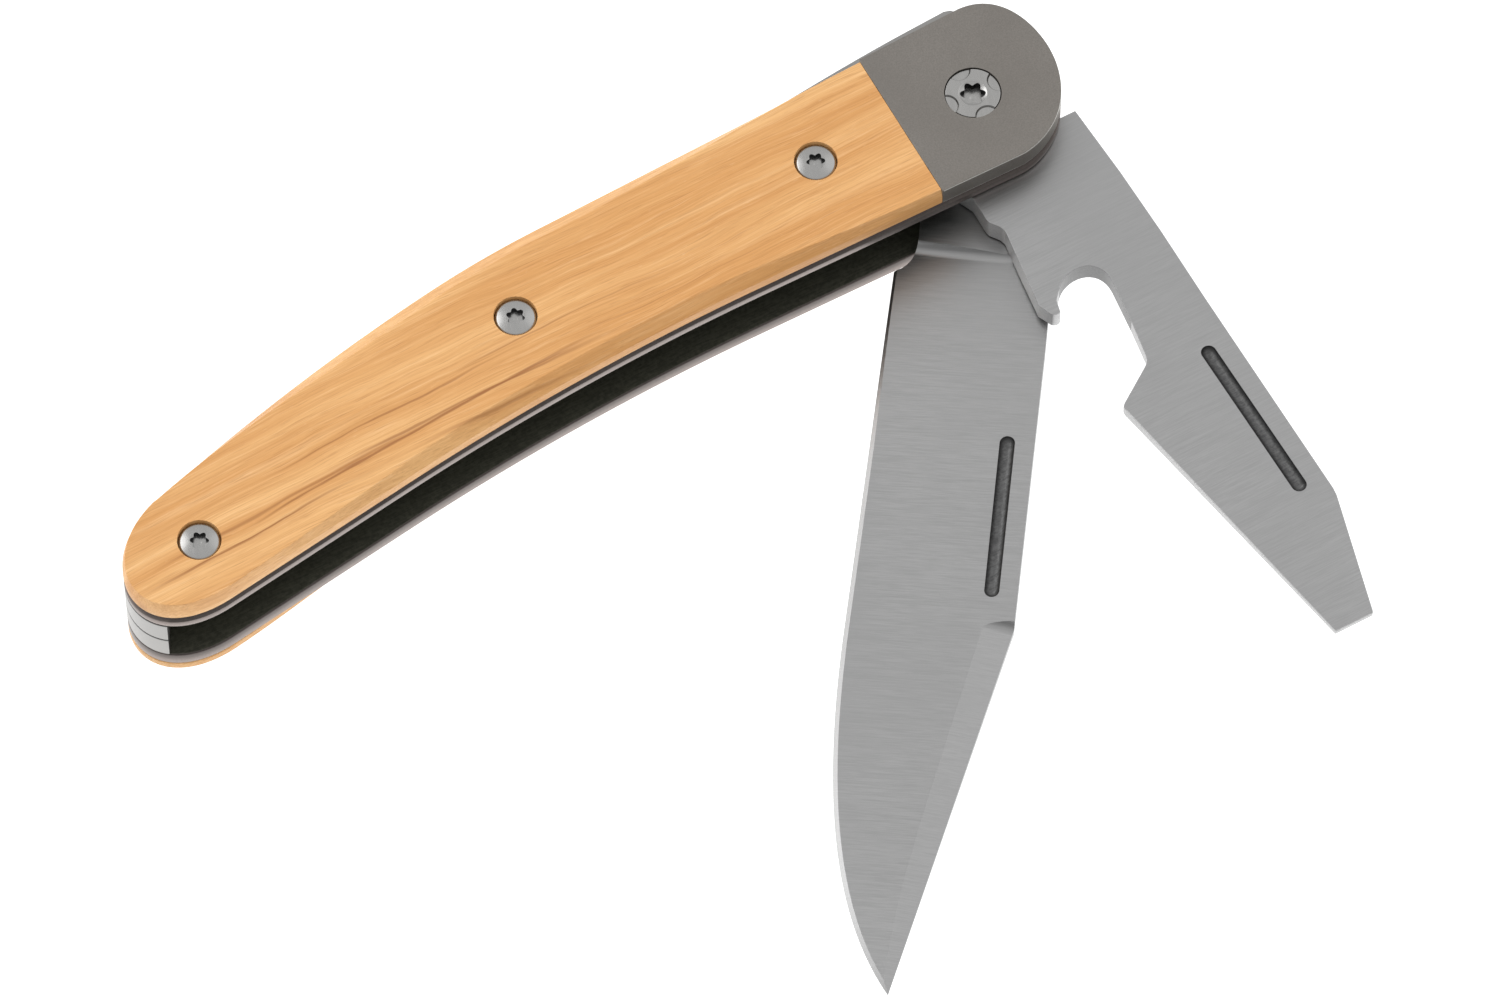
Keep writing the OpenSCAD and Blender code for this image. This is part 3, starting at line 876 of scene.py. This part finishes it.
def edge_bevel():
    """Sharpening bevel along the cutting edge, narrower and steeper near the heel."""
    edge_t, inside, outside = 0.06, 0.35, 1.0
    pts = [HEEL - (EDGE_KNEE - HEEL).normalized() * 3] + edge_line
    pts.append(TIP + (TIP - edge_line[-2]).normalized() * 1.0)
    rows = []
    for i, p in enumerate(pts):
        tangent = (pts[min(i + 1, len(pts) - 1)] - pts[max(i - 1, 0)]).normalized()
        normal = Vector((-tangent.y, tangent.x))
        width = 0.27 + 0.15 * smooth(p.x, 18, 38)
        inner = p + normal * width
        top = ground(inner.x, inner.y)
        mid = (TOOL_T + edge_t) / 2
        slope = (top - mid) / width
        far = p + normal * (width + inside)
        out = p - normal * outside
        rows.append([(*out, mid - slope * outside), (*far, mid + slope * (width + inside)),
                     (*far, TOOL_T + PAST), (*out, TOOL_T + PAST)])
    return from_rings("edge", rows)


def lifter():
    """Cap lifter with a driver tip: flat in front, thinned behind."""
    hook = bezier((21.6, 2.6), (18.2, 3.0), (18.0, -0.6), (19.9, -2.1), 16)
    pts = [(0, 0), (STOP_X, SEAT), (STOP_X, 8.5), (12, 8.95), (19, 9.15), (27, 9.2), (49.6, 9.6),
           (50.3, 9.53), (50.9, 9.38), (62.1, 6.45), (62.28, 6.35), (62.35, 6.15), (62.35, 2.4)]
    pts += [(33.6, -2.93), (33.3, -2.94), (33.1, -2.86), (32.9, -2.65), (30.6, 0.75), (30.35, 1.08),
            (30.05, 1.3), (29.6, 1.45), (26, 2.02), *hook, (20.7, -2.8)]
    pts += arc((21.45, -3.45), 0.58, 40, -60, 6)
    pts += [(20.4, -4.5), (12.4, -3.4), (12.0, -3.42), (11.6, -3.55), (11.1, -3.9), (10.7, -4.2),
            (10.3, -4.3), (7.8, -4.27), (6.2, -5), (3, -5.4)]
    obj = tool("lifter", pts, bevel=0.1)
    behind = [(14, 0), (15.5, 0.05), (33, 1.5), (64, 2.2), (64, -1), (14, -1)]
    cut(obj, from_rings("thin", [[(x, y, z) for x, z in behind] for y in (-20, 20)]))
    return cut(obj, nick(*LIFTER_NICK, NICK_R, TOOL_T, 0.55))


def placement(angle, z):
    """From a tool's own frame to its place on the pivot."""
    return Matrix.Translation((0, 0, z)) @ Matrix.Rotation(math.radians(angle), 4, "Z")


def in_nick(ends, place):
    """A test for the faces of a nail nick, once its tool is in place; they get painted shade."""
    start, end = (place @ Vector((*p, 0)) for p in ends)

    def test(centre, normal):
        along = (end - start).normalized()
        d = Vector((centre.x - start.x, centre.y - start.y, 0))
        aside = abs(along.cross(d).z)
        inside = -NICK_R < d.dot(along) < (end - start).length + NICK_R and aside < NICK_R
        height = centre.z - place.translation.z
        return inside and 1.3 < height < TOOL_T - 1e-3 and normal.z < 0.9999
    return test


def is_rim(centre, normal):
    """True for the cap lifter's sides, which are left as they were cut."""
    return abs(normal.z) < 0.96


def in_hook(place):
    """A test for the walls of the cap lifter's hook, which is milled and stays darker."""
    def test(centre, normal):
        p = place.inverted() @ centre
        return abs(normal.z) < 0.5 and 17.6 < p.x < 27 and -2.2 < p.y < 3
    return test


blade_place = placement(BLADE_ANGLE, Z_BLADE)
main_blade = moved(blade(), blade_place)
main_blade.name = "main_blade_ground"
finished(main_blade, "main_blade", "blade", BLADE, sharp=3.6,
         others=[(NICK_SHADE, in_nick(BLADE_NICK, blade_place))])
lifter_place = placement(LIFTER_ANGLE, Z_LIFTER)
cap_lifter = moved(lifter(), lifter_place)
cap_lifter.name = "cap_lifter_ground"
finished(cap_lifter, "cap_lifter", "lifter", TOOL,
         others=[(RIM, is_rim), (HOOK, in_hook(lifter_place)),
                 (NICK_SHADE, in_nick(LIFTER_NICK, lifter_place))])

# ---------------------------------------------------------------- springs
ROOT_X, TURN_X, NOSE_X = MID_PIN[0], -1.0, 4.2  # still behind ROOT_X, fully turned from TURN_X on
BLOCK_X = -78.1                                 # the solid tail block starts here
FLEX = math.radians(1.28)
SPRING_SEAT = SEAT + 0.03


def lift(x):
    """Rise of a sprung spring at x: what its joint takes back, and 0.3 mm to clear the tang."""
    return smooth(x, ROOT_X, TURN_X) * ((x - TAIL_PIN[0]) * math.tan(FLEX) + 0.3)


def spring_inner(x):
    """Height of a seated spring's underside at x."""
    knots = [(NOSE_X, SPRING_SEAT), (-15.5, SPRING_SEAT), (-23, 4.0), (-31, 3.6), (-44, 3.0),
             (-51, 2.5), (-64, 0.4), (-71, -1.2), (-78, -2.9)]
    for (xa, ya), (xb, yb) in zip(knots, knots[1:]):
        if xb <= x <= xa:
            return ya + (yb - ya) * (x - xa) / (xb - xa)
    return knots[-1][1]


def spring(name, z):
    """Back spring, bent up by the half-open tool from its middle pin to its nose."""
    step = 1.2
    stations = [NOSE_X - step * i for i in range(1, 66) if NOSE_X - step * i > BLOCK_X]
    outer = [Vector((NOSE_X, spine_y(NOSE_X - step) - 1.25)), Vector((4.08, spine_y(3) - 0.72)),
             Vector((3.62, spine_y(3) - 0.2))]
    outer += [Vector((x, spine_y(x))) for x in stations]
    inner = [Vector((x, SPRING_SEAT)) for x in (NOSE_X, 4.0, 3.6)]
    inner += [Vector((x, spring_inner(x))) for x in stations]
    for p in outer + inner:
        p.y += lift(p.x)
    bm = bmesh.new()
    o0, i0, o1, i1 = ([bm.verts.new((*p, h)) for p in row]
                      for h in (z, z + SPRING_T) for row in (outer, inner))
    for k in range(len(o0) - 1):
        bm.faces.new((o0[k], i0[k], i0[k + 1], o0[k + 1]))
        bm.faces.new((o1[k + 1], i1[k + 1], i1[k], o1[k]))
        bm.faces.new((o0[k + 1], o1[k + 1], o1[k], o0[k]))
        bm.faces.new((i0[k], i1[k], i1[k + 1], i0[k + 1]))
    bm.faces.new((o0[0], o1[0], i1[0], i0[0]))
    # The tail block, from the last station round the handle's end to its inner face
    rim = [p for p in spine if p.x < outer[-1].x - 0.2] + tail[1:30]
    inner_end = [(-88.2, -8.9), (-87.2, -8.1), (-86.2, -7.2), (-85.2, -6.1), (-84.3, -5.35),
                 (-83, -4.5), (-80.5, -3.6)]
    block = rim + [Vector(p) for p in inner_end]
    low, high = ([bm.verts.new((*p, h)) for p in block] for h in (z, z + SPRING_T))
    bm.faces.new([o0[-1], i0[-1]] + low[::-1])
    bm.faces.new([i1[-1], o1[-1]] + high)
    low, high = [o0[-1]] + low + [i0[-1]], [o1[-1]] + high + [i1[-1]]
    for k in range(len(low) - 1):
        bm.faces.new((low[k], low[k + 1], high[k + 1], high[k]))
    obj = new_object(bm, name)
    for p in (MID_PIN, TAIL_PIN):
        cut(obj, cylinder("pin hole", p, PIN_BORE_R, z - PAST, z + SPRING_T + PAST, 32))
    return bevelled(obj, 0.2, 50)


def faces_tools(centre, normal):
    """True for a spring's inner edge, which faces the tools and gets painted shade."""
    below_spine = centre.y < spine_y(centre.x) - 1.5
    before_tail = centre.y > -9.6 and centre.x > -88.6
    return abs(normal.z) < 0.5 and normal.y < -0.3 and below_spine and before_tail


for node, z, body in (
        ("blade_spring", Z_WELL + SPRING_PLAY, "blade_spring_arm"),
        ("lifter_spring", Z_FRONT_LINER - SPRING_PLAY - SPRING_T, "lifter_spring_arm")):
    piece = finished(spring(node + "_bent", z), node, None, SPRING,
                     others=[(WELL_SHADE, faces_tools)])
    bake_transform(piece)

# ---------------------------------------------------------------- hidden CAD pieces
HIDDEN = {
    SCREW: ("pivot_barrel", "front_bolster_screws", "back_bolster_screws", "mid_spring_pin",
            "tail_spring_pin"),
    BRONZE: ("front_washer", "centre_washer", "back_washer"),
}
for material, nodes in HIDDEN.items():
    for node in nodes:
        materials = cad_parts[node].data.materials
        materials.clear()
        materials.append(material)

# ---------------------------------------------------------------- studio
scene = bpy.context.scene
scene.view_settings.view_transform = "Standard"
scene.view_settings.look = "None"

LOOK_AT = Vector((-34.9, -20.9, 0)) * MM
cam_data = bpy.data.cameras.new("camera")
cam_data.lens = 288
cam_data.sensor_width = 36
cam_data.clip_start = 0.05
cam_data.clip_end = 100
camera = bpy.data.objects.new("camera", cam_data)
camera.location = Vector((-279.6, -464.1, 972.7)) * MM
camera.rotation_euler = (LOOK_AT - camera.location).to_track_quat("-Z", "Y").to_euler()
scene.collection.objects.link(camera)
scene.camera = camera

FLOOR_REACH = 30.0      # in metres, so that the horizon is pale in the low views
corners = [(x * FLOOR_REACH, y * FLOOR_REACH, 0) for x, y in ((-1, -1), (1, -1), (1, 1), (-1, 1))]
floor_mesh = bpy.data.meshes.new("floor")
floor_mesh.from_pydata(corners, [], [(0, 1, 2, 3)])
floor = bpy.data.objects.new("floor", floor_mesh)
floor.location.z = -0.02 * MM
scene.collection.objects.link(floor)
paper = Nodes("paper")
paper.set(Base_Color=(0.15, 0.15, 0.15, 1), Roughness=0.9, Emission_Color=(1, 1, 1, 1),
          Emission_Strength=1.25)
floor_mesh.materials.append(paper.material)

# The room is bright overhead and behind the knife, and dimmer low down in front of it.
world = bpy.data.worlds.new("studio")
world.use_nodes = True
tree = world.node_tree
direction = tree.nodes.new("ShaderNodeTexCoord").outputs["Generated"]
facing = tree.nodes.new("ShaderNodeVectorMath")
facing.operation = "DOT_PRODUCT"
facing.inputs[1].default_value = Vector((0.15, 0.36, 0.92)).normalized()
tree.links.new(direction, facing.inputs[0])
glow = tree.nodes.new("ShaderNodeMapRange")
glow.interpolation_type = "SMOOTHSTEP"
for name, value in (("From Min", 0.1), ("From Max", 0.9), ("To Min", 0.28), ("To Max", 0.78)):
    glow.inputs[name].default_value = value
tree.links.new(facing.outputs["Value"], glow.inputs["Value"])
tree.links.new(glow.outputs[0], tree.nodes["Background"].inputs[1])
tree.nodes["Background"].inputs[0].default_value = (1, 1, 1, 1)
scene.world = world


def soft_box(name, azimuth, height, distance, size, power, lights="both"):
    """Disk light at a direction in degrees from the knife, aimed at it. It lights plain
    surfaces ("diffuse"), shows as a reflection in metal ("glossy"), or does both."""
    light = bpy.data.lights.new(name, "AREA")
    light.shape = "DISK"
    light.size = size
    light.energy = power
    obj = bpy.data.objects.new(name, light)
    level = turn(azimuth) * math.cos(math.radians(height))
    obj.location = LOOK_AT + distance * Vector((*level, math.sin(math.radians(height))))
    obj.rotation_euler = (LOOK_AT - obj.location).to_track_quat("-Z", "Y").to_euler()
    obj.visible_glossy = lights != "diffuse"
    obj.visible_diffuse = lights != "glossy"
    scene.collection.objects.link(obj)


soft_box("key", 122, 44, 1.3, 0.55, 9, "diffuse")
soft_box("gleam", 120, 42, 1.3, 0.8, 3.0, "glossy")
soft_box("side", 15, 50, 1.3, 0.8, 0.55)
soft_box("fill", -70, 42, 1.3, 0.8, 4, "diffuse")
